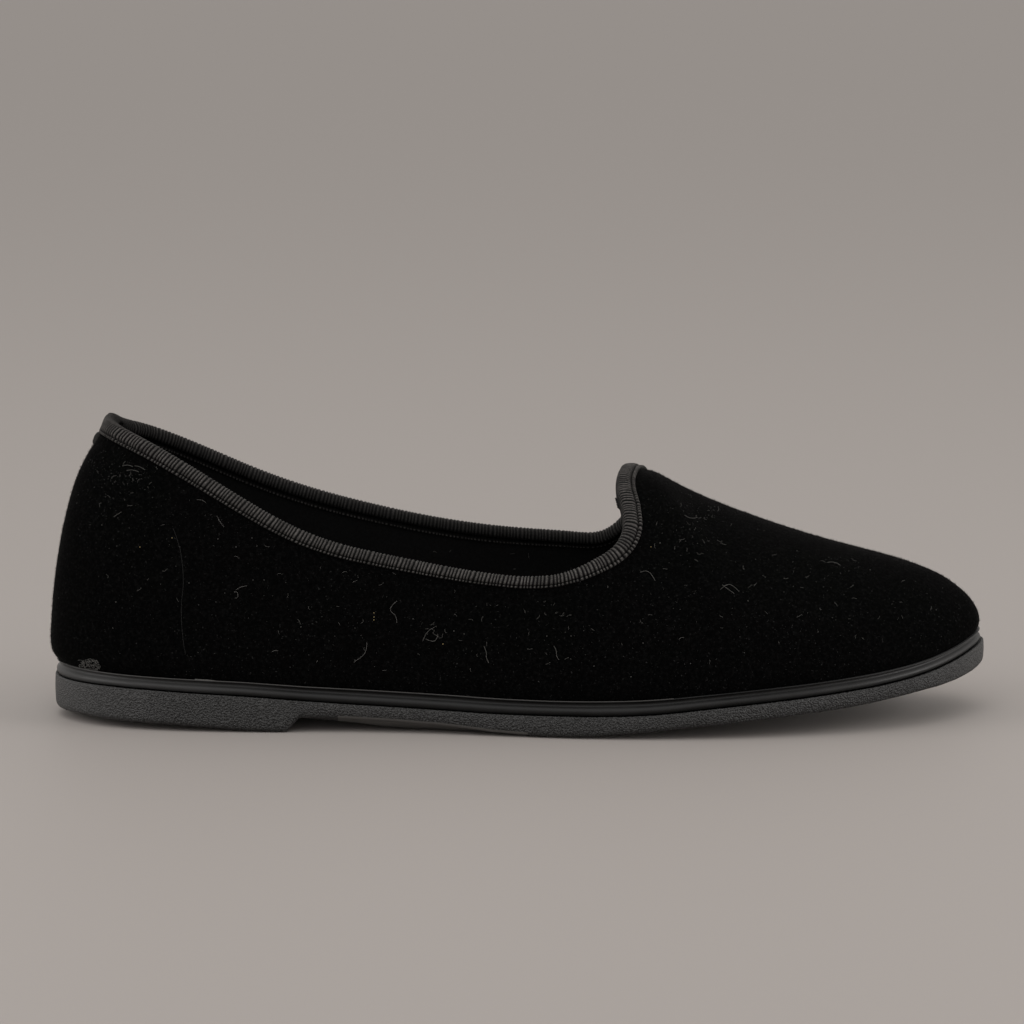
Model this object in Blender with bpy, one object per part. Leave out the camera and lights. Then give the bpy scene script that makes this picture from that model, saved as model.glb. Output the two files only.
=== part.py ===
"""Right velvet slipper loafer: hollow upper, topline binding, insole, midsole and outsole.

Toe towards +X, outer (lateral) side towards -Y, floor at Z = 0, origin under the middle of the heel.
"""

import math

import bmesh
import bpy
import numpy as np
from mathutils import Vector
from mathutils.bvhtree import BVHTree

# driving dimensions, in metres
LENGTH = 0.2497           # feather line of the last, from heel to toe
BALL_WIDTH = 0.0840       # feather line across the ball of the foot
BACK_HEIGHT = 0.0812      # cut edge of the upper at the back, above the floor
TONGUE_HEIGHT = 0.0668    # cut edge of the upper at the tongue's peak, above the floor
HEEL_SEAT = 0.0147        # feather line above the floor at the back of the heel
TOE_SPRING = 0.0134       # underside of the sole above the floor at the toe
HEEL_STEP = 0.0036        # height of the heel's breast
BAND_HEIGHT = 0.0039      # smooth band of the midsole, from groove to lip
WALL = 0.0022             # velvet, padding and lining of the upper together
INSOLE_THICKNESS = 0.0030
OVERHANG = 0.0028         # how far the upper bulges past its feather line at the heel
OVERHANG_RISE = 0.0040    # height over which it bulges
SOLE_OUTSET = 0.0020      # pebbled side of the outsole, outside the feather line
EDGE_ROUND = 0.0016       # rounding of the outsole's lower edge
UNDERSIDE_INSET = 0.0026  # from the outsole's side in to the flat of its underside
WAIST_BEVEL = 0.0065      # width of the bevel under the waist
BINDING_WIDTH = 0.0042    # binding on each face at the tongue, from edge to last stitch
BINDING_ROLL = 0.0031     # raised part of that width
BINDING_SWELL = 0.0010    # thickness of the raised part
BINDING_FLANGE = 0.0005   # thickness of the stitched flange
BINDING_GAP = 0.0005      # clearance between the binding and the curved wall inside it
GAP = 0.0003              # clearance between pieces that touch
HEEL_CENTRE = 0.0320      # from the back of the feather line to the origin

# plan of the feather line: share of LENGTH, then shares of BALL_WIDTH to the outer and the inner side
OUTLINE = (
    # along, outer, inner
    (0.000, 0.000, 0.000),
    (0.012, 0.138, 0.136),
    (0.045, 0.250, 0.244),
    (0.100, 0.328, 0.314),
    (0.170, 0.362, 0.340),
    (0.270, 0.374, 0.336),
    (0.400, 0.402, 0.342),
    (0.520, 0.462, 0.402),
    (0.630, 0.500, 0.468),
    (0.730, 0.490, 0.496),
    (0.840, 0.406, 0.452),
    (0.925, 0.268, 0.358),
    (0.980, 0.092, 0.216),
    (1.000, -0.065, 0.065),
)

# side view of the sole: share of LENGTH, shares of HEEL_SEAT, TOE_SPRING, BAND_HEIGHT, HEEL_STEP and SOLE_OUTSET,
# and how far the bevel of the waist is developed
BREAST = 0.250            # middle of the heel's breast, share of LENGTH
BREAST_HALF = 0.0065      # half the run of its slope, share of LENGTH
SOLE = (
    # along, seat, spring, band, step, outset, waist
    (-0.030, 1.005, 0.000, 1.00, 0.00, 0.82, 0.0),
    (0.000, 1.000, 0.000, 1.00, 0.00, 0.82, 0.0),
    (0.100, 0.955, 0.000, 1.00, 0.00, 0.90, 0.0),
    (0.195, 0.900, 0.000, 1.00, 0.00, 0.90, 0.0),
    (BREAST - BREAST_HALF, 0.862, 0.000, 1.00, 0.00, 0.88, 0.0),
    (BREAST + BREAST_HALF, 0.852, 0.000, 1.02, 1.00, 0.86, 0.0),
    (0.340, 0.780, 0.000, 1.04, 0.80, 0.82, 0.7),
    (0.420, 0.715, 0.000, 1.04, 0.45, 0.80, 1.0),
    (0.500, 0.668, 0.000, 1.03, 0.00, 0.84, 0.4),
    (0.615, 0.664, 0.000, 1.00, 0.00, 0.90, 0.0),
    (0.650, 0.660, 0.050, 0.98, 0.00, 0.92, 0.0),
    (0.700, 0.648, 0.145, 0.94, 0.00, 0.95, 0.0),
    (0.765, 0.622, 0.272, 0.90, 0.00, 1.00, 0.0),
    (0.830, 0.600, 0.385, 0.87, 0.00, 1.05, 0.0),
    (0.890, 0.584, 0.500, 0.84, 0.00, 1.10, 0.0),
    (0.935, 0.572, 0.630, 0.81, 0.00, 1.13, 0.0),
    (0.970, 0.566, 0.790, 0.79, 0.00, 1.14, 0.0),
    (1.000, 0.560, 0.985, 0.78, 0.00, 1.14, 0.0),
    (1.020, 0.560, 1.125, 0.78, 0.00, 1.14, 0.0),
)
BELLY = 0.15              # height of the underside inside the waist's bevel, as a share of the side's height there
CORNER = 0.3              # chamfer at the outsole's corners, as a share of EDGE_ROUND
BAND_FOLLOWS = 0.45       # how far the midsole's side follows the changes of the outsole's outset

# ribs of the upper: where each one stands on the feather line and meets the spine (shares of LENGTH), the power
# that rounds it (under 1 fuller, over 1 more peaked), and its share of OVERHANG
RIBS = (
    # foot, spine, power, overhang
    (0.000, 0.150, 0.87, 1.00),
    (0.060, 0.158, 1.02, 0.80),
    (0.160, 0.190, 1.20, 0.50),
    (0.300, 0.278, 1.22, 0.32),
    (0.450, 0.382, 1.14, 0.30),
    (0.600, 0.503, 1.10, 0.36),
    (0.700, 0.613, 1.10, 0.40),
    (0.800, 0.724, 1.08, 0.44),
    (0.900, 0.848, 1.00, 0.46),
    (0.960, 0.918, 0.92, 0.46),
    (1.000, 0.946, 0.88, 0.46),
)
PEAK_FOOT = 0.700         # foot of the rib that meets the tongue's peak, a row of RIBS

# spine of the last, side view: share of LENGTH, then shares of BACK_HEIGHT and TONGUE_HEIGHT that add up to its
# height, and its shift to the inner side as a share of BALL_WIDTH; before the peak it runs over the collar's opening
SPINE = (
    # along, back, tongue, shift
    (0.150, 1.120, 0.000, 0.000),
    (0.240, 1.060, 0.000, 0.010),
    (0.340, 0.800, 0.250, 0.020),
    (0.430, 0.500, 0.550, 0.028),
    (0.520, 0.220, 0.800, 0.032),
    (0.575, 0.050, 0.960, 0.034),
    (0.613, 0.000, 1.000, 0.036),
    (0.643, 0.000, 0.984, 0.040),
    (0.666, 0.000, 0.942, 0.042),
    (0.688, 0.000, 0.901, 0.044),
    (0.710, 0.000, 0.864, 0.046),
    (0.753, 0.000, 0.801, 0.050),
    (0.797, 0.000, 0.744, 0.053),
    (0.841, 0.000, 0.694, 0.057),
    (0.885, 0.000, 0.650, 0.060),
    (0.928, 0.000, 0.603, 0.063),
    (0.960, 0.000, 0.558, 0.064),
)

# cut edge of the upper, side view, from the back to the tongue's peak: share of LENGTH, then shares of BACK_HEIGHT
# and TONGUE_HEIGHT that add up to its height
OUTER_TOPLINE = (
    # along, back, tongue
    (-0.100, 1.120, 0.000),
    (0.049, 0.996, 0.000),
    (0.066, 0.972, 0.000),
    (0.100, 0.926, 0.000),
    (0.130, 0.878, 0.000),
    (0.195, 0.762, 0.000),
    (0.240, 0.684, 0.000),
    (0.288, 0.620, 0.000),
    (0.358, 0.568, 0.000),
    (0.430, 0.529, 0.000),
    (0.500, 0.507, 0.000),
    (0.546, 0.300, 0.266),
    (0.585, 0.000, 0.692),
    (0.605, 0.000, 0.744),
    (0.614, 0.000, 0.812),
    (0.613, 0.000, 0.876),
    (0.609, 0.000, 0.940),
    (0.610, 0.000, 0.985),
    (0.613, 0.000, 1.001),
    (0.640, 0.000, 1.040),
)
INNER_TOPLINE = (
    # along, back, tongue
    (-0.100, 1.120, 0.000),
    (0.049, 0.996, 0.000),
    (0.066, 0.970, 0.000),
    (0.100, 0.924, 0.000),
    (0.140, 0.872, 0.000),
    (0.205, 0.782, 0.000),
    (0.270, 0.709, 0.000),
    (0.336, 0.653, 0.000),
    (0.402, 0.606, 0.000),
    (0.490, 0.562, 0.000),
    (0.562, 0.300, 0.292),
    (0.592, 0.000, 0.660),
    (0.612, 0.000, 0.712),
    (0.623, 0.000, 0.790),
    (0.624, 0.000, 0.868),
    (0.620, 0.000, 0.940),
    (0.617, 0.000, 0.984),
    (0.613, 0.000, 1.001),
    (0.600, 0.000, 1.060),
)

# side of the midsole, from groove to lip: share of BAND_HEIGHT, then share of SOLE_OUTSET
BAND = (
    # height, outset
    (0.000, 0.40),
    (0.110, 0.62),
    (0.330, 0.70),
    (0.540, 0.55),
    (0.700, 0.26),
    (0.840, 0.24),
    (0.900, 0.46),
    (1.000, 0.46),
)

# side of the insole, lowest first: share of INSOLE_THICKNESS up, and in from the wall
INSOLE_SIDE = (
    # height, inset
    (0.0, 0.10),
    (0.7, 0.05),
    (1.0, 0.35),
)

# section of the binding on one face of the wall: share of its width down from the edge, then shares of
# BINDING_SWELL and BINDING_FLANGE that add up to its thickness there
BINDING_MIDDLE = 0.46
BINDING_FACE = (
    # down, swell, flange
    (1.00, 0.00, 1.00),
    (BINDING_ROLL / BINDING_WIDTH, 0.00, 1.00),
    (BINDING_ROLL / BINDING_WIDTH - 0.06, 0.70, 0.00),
    (BINDING_MIDDLE, 1.00, 0.00),
    (0.12, 0.94, 0.00),
)

# section of the binding over the edge: share of BINDING_SWELL up, and share of half its thickness to the side
BINDING_CROWN = (
    # lift, side
    (0.45, 0.86),
    (1.00, 0.36),
    (1.00, -0.36),
    (0.45, -0.86),
)

# width of the binding along the collar, narrowest where the cloth is pulled tight: shares of LENGTH, BINDING_WIDTH
BINDING_RUN = (
    # along, width
    (0.000, 0.76),
    (0.120, 0.70),
    (0.300, 0.56),
    (0.480, 0.44),
    (0.550, 0.48),
    (0.590, 0.78),
    (0.613, 0.96),
)

# counts of sections and rows
COLLAR_RIBS = 20          # from the heel to the start of the throat
THROAT_RIBS = 14          # up the steep edge of the tongue
VAMP_RIBS = 18            # from the peak to the toe
CROWDING = 1.45           # how much closer together both kinds stand towards the peak
THROAT_FOOT = 0.560       # foot of the first throat rib, share of LENGTH
ROWS = (0.0, 0.03, 0.08, 0.15, 0.24, 0.35, 0.47, 0.59, 0.70, 0.81, 0.91, 1.0)
SOLE_STATIONS = 27

MATERIALS = {
    # name: colour, roughness, metallic
    "velvet": ((0.006, 0.006, 0.007), 0.85, 0.0),
    "ribbed_cloth": ((0.010, 0.010, 0.011), 0.70, 0.0),
    "lining": ((0.012, 0.012, 0.013), 0.75, 0.0),
    "smooth_rubber": ((0.012, 0.012, 0.013), 0.30, 0.0),
    "pebbled_rubber": ((0.020, 0.020, 0.021), 0.55, 0.0),
}


def clear_scene():
    for thing in list(bpy.data.objects):
        bpy.data.objects.remove(thing, do_unlink=True)


def column(table, index):
    return [row[index] for row in table]


def steady(xs, ys, x):
    """Smooth curve through a table that never overshoots, so level runs stay level."""
    xs = np.asarray(xs, float)
    ys = np.asarray(ys, float)
    step = np.diff(xs)
    slope = np.diff(ys) / step
    tangent = np.zeros(len(xs))
    tangent[0] = slope[0]
    tangent[-1] = slope[-1]
    for i in range(1, len(xs) - 1):
        if slope[i - 1] * slope[i] > 0:
            before = 2 * step[i] + step[i - 1]
            after = step[i] + 2 * step[i - 1]
            tangent[i] = (before + after) / (before / slope[i - 1] + after / slope[i])
    return hermite(xs, ys, tangent, x)


def flowing(xs, ys, x):
    """Cubic curve through a table with continuous curvature."""
    xs = np.asarray(xs, float)
    ys = np.asarray(ys, float)
    step = np.diff(xs)
    slope = np.diff(ys) / step
    count = len(xs)
    matrix = np.zeros((count, count))
    right = np.zeros(count)
    matrix[0, :2] = 2, 1
    right[0] = 3 * slope[0]
    matrix[-1, -2:] = 1, 2
    right[-1] = 3 * slope[-1]
    for i in range(1, count - 1):
        matrix[i, i - 1:i + 2] = step[i], 2 * (step[i - 1] + step[i]), step[i - 1]
        right[i] = 3 * (step[i] * slope[i - 1] + step[i - 1] * slope[i])
    return hermite(xs, ys, np.linalg.solve(matrix, right), x)


def hermite(xs, ys, tangent, x):
    i = int(np.clip(np.searchsorted(xs, x) - 1, 0, len(xs) - 2))
    width = xs[i + 1] - xs[i]
    u = (x - xs[i]) / width
    if u < 0:
        return float(ys[i] + tangent[i] * (x - xs[i]))
    if u > 1:
        return float(ys[i + 1] + tangent[i + 1] * (x - xs[i + 1]))
    near = (1 + 2 * u) * (1 - u) ** 2 * ys[i] + u * (1 - u) ** 2 * width * tangent[i]
    far = u * u * (3 - 2 * u) * ys[i + 1] + u * u * (u - 1) * width * tangent[i + 1]
    return float(near + far)


def turn_at(along):
    """Place on the outline as a turn: 0 at the heel, 1 at the toe, so that both ends come out round."""
    return math.acos(1 - 2 * min(max(along, 0.0), 1.0)) / math.pi


def outline_tables():
    turns = [turn_at(along) for along in column(OUTLINE, 0)]
    outer = [-share for share in column(OUTLINE, 1)]
    inner = column(OUTLINE, 2)
    around = turns + [2 - turn for turn in reversed(turns[:-1])]
    across = outer + list(reversed(inner[:-1]))
    before = [turn - 2 for turn in around[-4:-1]]
    after = [turn + 2 for turn in around[1:4]]
    return before + around + after, across[-4:-1] + across + across[1:4]


AROUND, ACROSS = outline_tables()


def feather(turn):
    """Point of the feather line in plan, in metres from the back; turn runs 0 to 2, outer side first."""
    x = LENGTH * (1 - math.cos(math.pi * turn)) / 2
    y = BALL_WIDTH * flowing(AROUND, ACROSS, turn)
    return Vector((x, y, 0))


def outward(turn):
    probe = 0.002
    run = feather(turn + probe) - feather(turn - probe)
    return Vector((run.y, -run.x, 0)).normalized()


def ring_turns(turns):
    """All turns of a closed ring, from those of its outer side (0 to 1)."""
    return turns + [2 - turn for turn in reversed(turns[1:-1])]


def sole_share(index, x):
    return steady(column(SOLE, 0), column(SOLE, index), x / LENGTH)


def lip_height(x):
    return HEEL_SEAT * sole_share(1, x) + TOE_SPRING * sole_share(2, x)


def groove_height(x):
    return lip_height(x) - BAND_HEIGHT * sole_share(3, x)


def floor_height(x):
    return TOE_SPRING * sole_share(2, x) + HEEL_STEP * sole_share(4, x)


def spine_point(along):
    x = LENGTH * along
    places = column(SPINE, 0)
    back = BACK_HEIGHT * flowing(places, column(SPINE, 1), along)
    tongue = TONGUE_HEIGHT * flowing(places, column(SPINE, 2), along)
    shift = BALL_WIDTH * steady(places, column(SPINE, 3), along)
    return Vector((x, shift, back + tongue))


def spine_fall(along):
    probe = 0.01
    return (spine_point(along - probe).z - spine_point(along + probe).z) / (2 * probe * LENGTH)


class Rib:
    """One rib of the last: a plane curve in plan from the feather line in to the spine, rounded in height."""

    def __init__(self, turn):
        foot_along = (1 - math.cos(math.pi * turn)) / 2
        feet = column(RIBS, 0)
        spine_along = steady(feet, column(RIBS, 1), foot_along)
        self.power = steady(feet, column(RIBS, 2), foot_along)
        self.overhang = OVERHANG * steady(feet, column(RIBS, 3), foot_along)
        self.foot = feather(turn)
        self.out = outward(turn)
        self.low = lip_height(self.foot.x) + GAP
        self.top = spine_point(spine_along)
        self.fall = spine_fall(spine_along)

    def point(self, angle):
        rise = (self.top.z - self.low) * math.sin(angle)
        swell = math.sin(math.pi / 2 * min(rise / OVERHANG_RISE, 1.0))
        edge = self.foot + self.out * (self.overhang * swell)
        reach = max(math.cos(angle), 0.0) ** self.power
        flat = Vector((self.top.x, self.top.y, 0)).lerp(edge, reach)
        slope = self.fall * (flat.x - self.top.x) * math.sin(angle) ** 2
        return Vector((flat.x, flat.y, self.low + rise - slope))


def topline(table, steps=260):
    """Points of a topline in side view, evenly spaced in its own length."""
    raw = np.array([(LENGTH * a, BACK_HEIGHT * b + TONGUE_HEIGHT * t) for a, b, t in table])
    length = np.concatenate(([0.0], np.cumsum(np.hypot(*np.diff(raw, axis=0).T))))
    places = np.linspace(0, length[-1], steps)
    return [(flowing(length, raw[:, 0], s), flowing(length, raw[:, 1], s)) for s in places]


def crossing_angle(rib, line, steps=120):
    """Angle at which a rib, climbing from its foot, meets the topline in side view."""
    angles = [math.pi / 2 * i / steps for i in range(1, steps + 1)]
    last = rib.point(0.0)
    last_angle = 0.0
    for angle in angles:
        here = rib.point(angle)
        for (ax, az), (bx, bz) in zip(line, line[1:]):
            run_x, run_z = here.x - last.x, here.z - last.z
            line_x, line_z = bx - ax, bz - az
            cross = run_x * line_z - run_z * line_x
            if abs(cross) < 1e-14:
                continue
            s = ((ax - last.x) * line_z - (az - last.z) * line_x) / cross
            t = ((ax - last.x) * run_z - (az - last.z) * run_x) / cross
            if 0 <= s <= 1 and 0 <= t <= 1:
                return last_angle + s * (angle - last_angle)
        last = here
        last_angle = angle
    return math.pi / 2


def rib_turns():
    throat = turn_at(THROAT_FOOT)
    peak = turn_at(PEAK_FOOT)
    collar = [throat * i / COLLAR_RIBS for i in range(COLLAR_RIBS)]
    rise = [peak - (peak - throat) * (1 - i / THROAT_RIBS) ** CROWDING for i in range(THROAT_RIBS)]
    vamp = [peak + (1 - peak) * (i / VAMP_RIBS) ** CROWDING for i in range(VAMP_RIBS + 1)]
    return collar + rise + vamp


def upper_grid():
    """Outer face of the upper as columns of points, round the shoe from the heel by the outer side."""
    outer_line = topline(OUTER_TOPLINE)
    inner_line = topline(INNER_TOPLINE)
    peak = COLLAR_RIBS + THROAT_RIBS
    turns = rib_turns()
    last = len(turns) - 1
    columns = []
    for place, turn in enumerate(ring_turns(turns)):
        outer_side = place <= last
        index = place if outer_side else 2 * last - place
        rib = Rib(turn)
        if index == last:
            rib.top = Rib(turns[last - 1]).top
        end = math.pi / 2
        if index < peak:
            end = crossing_angle(rib, outer_line if outer_side else inner_line)
        columns.append([rib.point(end * row) for row in ROWS])
    return columns, peak, last


def new_object(name, mesh_data, material):
    mesh = bpy.data.meshes.new(name)
    mesh_data.to_mesh(mesh)
    mesh_data.free()
    mesh.shade_smooth()
    mesh.set_sharp_from_angle(angle=math.radians(38))
    thing = bpy.data.objects.new(name, mesh)
    thing.location.x = -HEEL_CENTRE
    bpy.context.scene.collection.objects.link(thing)
    mesh.materials.append(material)
    return thing


def make_material(name):
    colour, roughness, metallic = MATERIALS[name]
    material = bpy.data.materials.new(name)
    material.use_nodes = True
    shader = material.node_tree.nodes["Principled BSDF"]
    shader.inputs["Base Color"].default_value = (*colour, 1)
    shader.inputs["Roughness"].default_value = roughness
    shader.inputs["Metallic"].default_value = metallic
    return material


def sheet(bm, columns, peak, last, turned=False):
    """Skin over the ribs; the two ribs of a vamp pair share the vertex where they meet on the spine."""
    count = len(columns)
    verts = []
    for place, points in enumerate(columns):
        twin = (count - place) % count
        shared = place > last and twin >= peak
        own = points[:-1] if shared or place == last else points
        made = [bm.verts.new(point) for point in own]
        if place == last:
            made.append(verts[last - 1][-1])
        elif shared:
            made.append(verts[twin][-1])
        verts.append(made)
    for place in range(count):
        here = verts[place]
        there = verts[(place + 1) % count]
        for row in range(len(ROWS) - 1):
            corners = [here[row], there[row], there[row + 1], here[row + 1]]
            face = [v for i, v in enumerate(corners) if v is not corners[i - 1]]
            bm.faces.new(reversed(face) if turned else face)
    return verts


def rim_columns(peak, last):
    """Columns whose tops lie on the topline, in order round the collar."""
    return list(range(peak + 1)) + [2 * last - i for i in range(peak - 1, 0, -1)]


def close_rim(bm, from_loop, to_loop):
    count = len(from_loop)
    for i in range(count):
        j = (i + 1) % count
        bm.faces.new((from_loop[i], from_loop[j], to_loop[j], to_loop[i]))


def inner_columns(columns, verts):
    """Lining face: the outer face moved in by the wall, level along the feather line."""
    lining = []
    for points, made in zip(columns, verts):
        moved = []
        for point, vert in zip(points, made):
            climb = min((point.z - points[0].z) / (2 * OVERHANG_RISE), 1.0)
            normal = Vector((vert.normal.x, vert.normal.y, vert.normal.z * climb)).normalized()
            moved.append(vert.co - normal * WALL)
        lining.append(moved)
    return lining


def build_upper(material):
    columns, peak, last = upper_grid()
    bm = bmesh.new()
    outer = sheet(bm, columns, peak, last)
    bm.normal_update()
    inner = sheet(bm, inner_columns(columns, outer), peak, last, turned=True)
    close_rim(bm, [col[0] for col in inner], [col[0] for col in outer])
    rim = rim_columns(peak, last)
    close_rim(bm, [outer[i][-1] for i in rim], [inner[i][-1] for i in rim])
    return new_object("upper", bm, material)


def smooth_normal(tree, normals, point):
    """Nearest point on the upper's outer face, with a normal blended over the face it lies in."""
    place, _, index, _ = tree.find_nearest(point)
    corners, corner_normals = normals[index]
    weights = [1 / ((place - corner).length + 1e-5) for corner in corners]
    blended = sum((n * w for n, w in zip(corner_normals, weights)), Vector())
    return place, blended.normalized()


def build_binding(material):
    """Binding folded over the topline, following the upper's curve on both faces of the wall."""
    columns, peak, last = upper_grid()
    skin = bmesh.new()
    verts = sheet(skin, columns, peak, last)
    skin.normal_update()
    skin.faces.ensure_lookup_table()
    normals = [([v.co.copy() for v in f.verts], [v.normal.copy() for v in f.verts]) for f in skin.faces]
    tree = BVHTree.FromBMesh(skin)
    rim = rim_columns(peak, last)
    edge = [verts[i][-1].co.copy() for i in rim]
    edge_normals = [verts[i][-1].normal.copy() for i in rim]
    skin.free()
    bm = bmesh.new()
    sections = []
    for i, place in enumerate(edge):
        run = (edge[(i + 1) % len(edge)] - edge[i - 1]).normalized()
        normal = edge_normals[i]
        beyond = run.cross(normal).normalized() * -1
        sections.append(binding_section(tree, normals, place, normal, beyond))
    rings = [[bm.verts.new(point) for point in section] for section in sections]
    for i, here in enumerate(rings):
        there = rings[(i + 1) % len(rings)]
        for j in range(len(here)):
            k = (j + 1) % len(here)
            bm.faces.new((here[j], there[j], there[k], here[k]))
    bmesh.ops.recalc_face_normals(bm, faces=bm.faces)
    return new_object("topline_binding", bm, material)


def binding_section(tree, normals, place, normal, beyond):
    width = BINDING_WIDTH * steady(column(BINDING_RUN, 0), column(BINDING_RUN, 1), place.x / LENGTH)
    outside = []
    inside = []
    against_outer = []
    against_inner = []
    for down, swell, flange in BINDING_FACE:
        thick = BINDING_SWELL * swell + BINDING_FLANGE * flange
        seat, face_normal = smooth_normal(tree, normals, place - beyond * (width * down))
        outside.append(seat + face_normal * (BINDING_GAP + thick))
        inside.append(seat - face_normal * (WALL + BINDING_GAP + thick))
        if down in (1.0, BINDING_MIDDLE):
            against_outer.append(seat + face_normal * BINDING_GAP)
            against_inner.append(seat - face_normal * (WALL + BINDING_GAP))
    over = place + beyond * BINDING_GAP
    against_outer.append(over + normal * BINDING_GAP)
    against_inner.append(over - normal * (WALL + BINDING_GAP))
    middle = place - normal * (WALL / 2)
    half = WALL / 2 + BINDING_GAP + BINDING_SWELL
    crown = [
        middle + beyond * (BINDING_GAP + BINDING_SWELL * lift) + normal * (half * side)
        for lift, side in BINDING_CROWN
    ]
    return outside + crown + inside[::-1] + against_inner + against_outer[::-1]


def ladder(bm, ring, upward):
    """Flat cap over a ring, in strips across the shoe."""
    half = len(ring) // 2
    for i in range(half):
        corners = [ring[i], ring[i + 1], ring[-i - 1], ring[-i] if i else ring[0]]
        face = [v for n, v in enumerate(corners) if v is not corners[n - 1]]
        bm.faces.new(face if upward else reversed(face))


def plate(name, rings, material):
    """Solid between closed rings of equal counts, lowest first, capped at both ends."""
    bm = bmesh.new()
    made = [[bm.verts.new(point) for point in ring] for ring in rings]
    for low, high in zip(made, made[1:]):
        close_rim(bm, low, high)
    ladder(bm, made[0], upward=False)
    ladder(bm, made[-1], upward=True)
    return new_object(name, bm, material)


def offset_ring(turns, outset, height):
    """Ring outside the feather line by outset(x), at height(x)."""
    ring = []
    for turn in ring_turns(turns):
        foot = feather(turn)
        point = foot + outward(turn) * outset(foot.x)
        point.z = height(point.x)
        ring.append(point)
    return ring


def sole_turns():
    even = [i / SOLE_STATIONS for i in range(SOLE_STATIONS + 1)]
    breast = [turn_at(BREAST - BREAST_HALF), turn_at(BREAST + BREAST_HALF)]
    clear = 1 / (3 * SOLE_STATIONS)
    kept = [turn for turn in even if min(abs(turn - b) for b in breast) > clear]
    return sorted(kept + breast)


def build_outsole(material):
    turns = sole_turns()

    def side(x):
        return SOLE_OUTSET * sole_share(5, x)

    def bevel(x):
        return WAIST_BEVEL * sole_share(6, x)

    def belly(x):
        return floor_height(x) * (1 - (1 - BELLY) * sole_share(6, x))

    def top(x):
        return groove_height(x) - GAP / 2

    corner = CORNER * EDGE_ROUND
    rings = [
        offset_ring(turns, lambda x: side(x) - UNDERSIDE_INSET - bevel(x), belly),
        offset_ring(turns, lambda x: side(x) - EDGE_ROUND, floor_height),
        offset_ring(turns, lambda x: side(x) - corner, lambda x: floor_height(x) + corner),
        offset_ring(turns, side, lambda x: floor_height(x) + EDGE_ROUND),
        offset_ring(turns, side, lambda x: top(x) - corner),
        offset_ring(turns, lambda x: side(x) - corner, top),
    ]
    return plate("outsole", rings, material)


def build_midsole(material):
    turns = sole_turns()
    rings = []
    for share, outset in BAND:
        def width(x, outset=outset):
            return SOLE_OUTSET * outset * (1 - BAND_FOLLOWS * (1 - sole_share(5, x)))

        def height(x, share=share):
            base = groove_height(x) + GAP / 2
            return base + (lip_height(x) - base) * share

        rings.append(offset_ring(turns, width, height))
    return plate("midsole", rings, material)


def build_insole(material):
    turns = sole_turns()
    inset = WALL + GAP

    rings = []
    for share, side in INSOLE_SIDE:
        def outset(x, side=side):
            return -inset - INSOLE_THICKNESS * side

        def height(x, share=share):
            return lip_height(x) + GAP + INSOLE_THICKNESS * share

        rings.append(offset_ring(turns, outset, height))
    return plate("insole", rings, material)


def main():
    clear_scene()
    build_outsole(make_material("pebbled_rubber"))
    build_midsole(make_material("smooth_rubber"))
    build_insole(make_material("lining"))
    build_upper(make_material("velvet"))
    build_binding(make_material("ribbed_cloth"))


main()
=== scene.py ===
import math
import random

import bmesh
import bpy
import numpy as np
from mathutils import Matrix, Vector
from mathutils.bvhtree import BVHTree


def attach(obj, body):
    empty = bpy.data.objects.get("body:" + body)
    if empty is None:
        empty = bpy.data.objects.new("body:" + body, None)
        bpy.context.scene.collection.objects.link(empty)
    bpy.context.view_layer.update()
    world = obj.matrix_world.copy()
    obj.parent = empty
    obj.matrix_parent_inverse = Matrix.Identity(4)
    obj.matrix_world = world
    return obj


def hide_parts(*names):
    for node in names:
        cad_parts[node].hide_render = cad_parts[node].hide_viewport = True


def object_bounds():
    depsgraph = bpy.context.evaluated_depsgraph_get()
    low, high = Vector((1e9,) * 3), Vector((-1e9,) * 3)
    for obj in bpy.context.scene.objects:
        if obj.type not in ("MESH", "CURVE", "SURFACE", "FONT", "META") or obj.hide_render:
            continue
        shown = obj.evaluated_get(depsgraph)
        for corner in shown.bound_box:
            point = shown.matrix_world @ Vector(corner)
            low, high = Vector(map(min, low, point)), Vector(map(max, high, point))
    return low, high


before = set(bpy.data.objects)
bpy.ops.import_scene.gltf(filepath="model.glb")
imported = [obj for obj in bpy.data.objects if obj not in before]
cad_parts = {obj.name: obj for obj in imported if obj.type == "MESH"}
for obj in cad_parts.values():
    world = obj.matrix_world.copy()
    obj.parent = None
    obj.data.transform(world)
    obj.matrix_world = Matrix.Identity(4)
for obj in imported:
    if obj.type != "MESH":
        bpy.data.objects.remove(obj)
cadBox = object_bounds()
heelX, toeX = cadBox[0][0], cadBox[1][0]
print("frame: loaded", len(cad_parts), "nodes")

# camera at the photograph's angle; lengths in metres
photoView = {
    "side": 1024,              # pixels of the picture
    "target": (0.0909, 0.0, 0.0549),
    "distance": 1.3,
    "elevation": 8.0,
    "metrePerPixel": 0.0002715,  # at the target
    "sensor": 36.0,
}


def makeCamera(view):
    data = bpy.data.cameras.new("photoCamera")
    camera = bpy.data.objects.new("photoCamera", data)
    bpy.context.scene.collection.objects.link(camera)
    lift = math.radians(view["elevation"])
    back = Vector((0, -math.cos(lift), math.sin(lift)))
    camera.location = Vector(view["target"]) + back * view["distance"]
    camera.rotation_euler = (-back).to_track_quat("-Z", "Y").to_euler()
    data.sensor_width = view["sensor"]
    data.lens = view["sensor"] * view["distance"] / view["metrePerPixel"] / view["side"]
    data.clip_start = 0.05
    data.clip_end = 30
    bpy.context.scene.camera = camera
    return camera


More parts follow.
